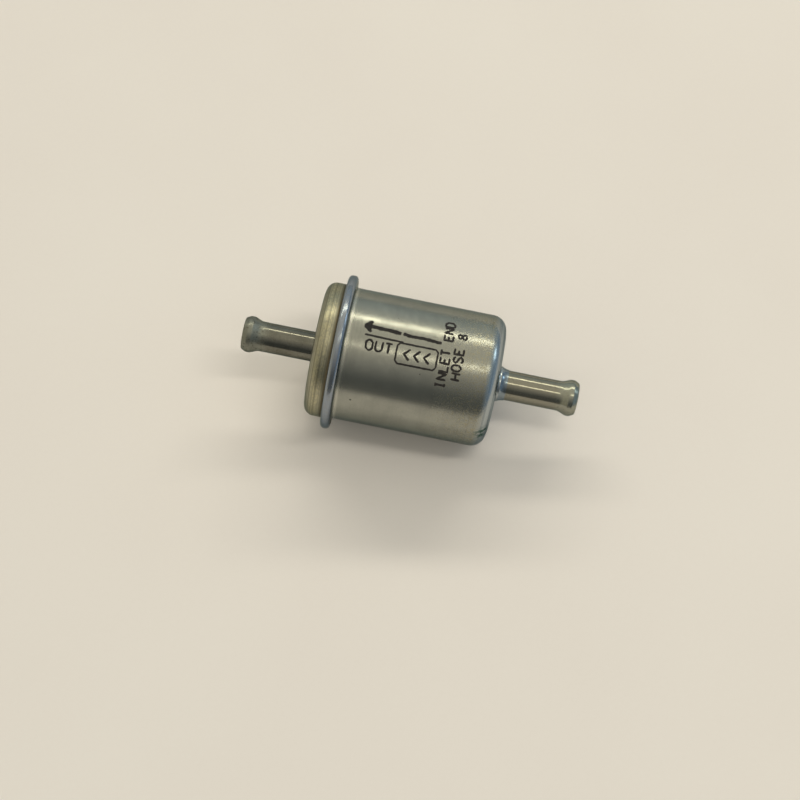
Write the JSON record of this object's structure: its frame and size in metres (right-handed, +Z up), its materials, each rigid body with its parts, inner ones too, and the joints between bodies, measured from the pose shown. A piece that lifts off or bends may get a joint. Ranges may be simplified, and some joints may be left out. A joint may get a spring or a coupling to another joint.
{
  "type": "fuel filter",
  "caption": "In-line fuel filter for a small engine: drawn steel can with a rolled-seam cover, a beaded hose nipple on each end and a pleated paper element inside.",
  "frame": {"origin": "on the filter's axis, at the middle of the can's straight barrel, where a clamp band holds it", "axes": "+X along the axis towards the inlet nipple (fuel flows towards -X); +Z up, with the filter lying on its side"},
  "size_m": [0.0902, 0.0414, 0.0414],
  "materials": {
    "can_zinc": "satin zinc-plated drawn steel",
    "cover_zinc": "satin zinc-plated drawn steel, duller than the can",
    "nipple_zinc": "bright zinc-plated steel tube",
    "braze_zinc": "bright plated braze",
    "gasket_rubber": "matt black",
    "seal_rubber": "matt black",
    "plate_steel": "plain pressed steel",
    "tinplate": "bright tinplate",
    "filter_paper": "resin-treated fibrous paper",
    "potting_adhesive": "cured plastisol",
    "spring_steel": "oil-tempered wire",
    "strainer_metal": "fine wire cloth in a ring",
    "marking_ink": "matt black printing ink"
  },
  "bodies": {
    "root": {"can": "can_zinc", "end_cover": "cover_zinc", "seam_gasket": "gasket_rubber", "inlet_nipple": "nipple_zinc", "outlet_nipple": "nipple_zinc", "inlet_braze": "braze_zinc", "outlet_braze": "braze_zinc", "support_plate": "plate_steel", "element_seal": "seal_rubber", "outlet_end_cap": "tinplate", "inlet_end_cap": "tinplate", "core_tube": "tinplate", "filter_media": "filter_paper", "media_seam_clip": "tinplate", "outlet_potting": "potting_adhesive", "inlet_potting": "potting_adhesive", "element_spring": "spring_steel", "strainer_frame": "strainer_metal", "strainer_mesh": "strainer_metal"}
  },
  "joints": []
}
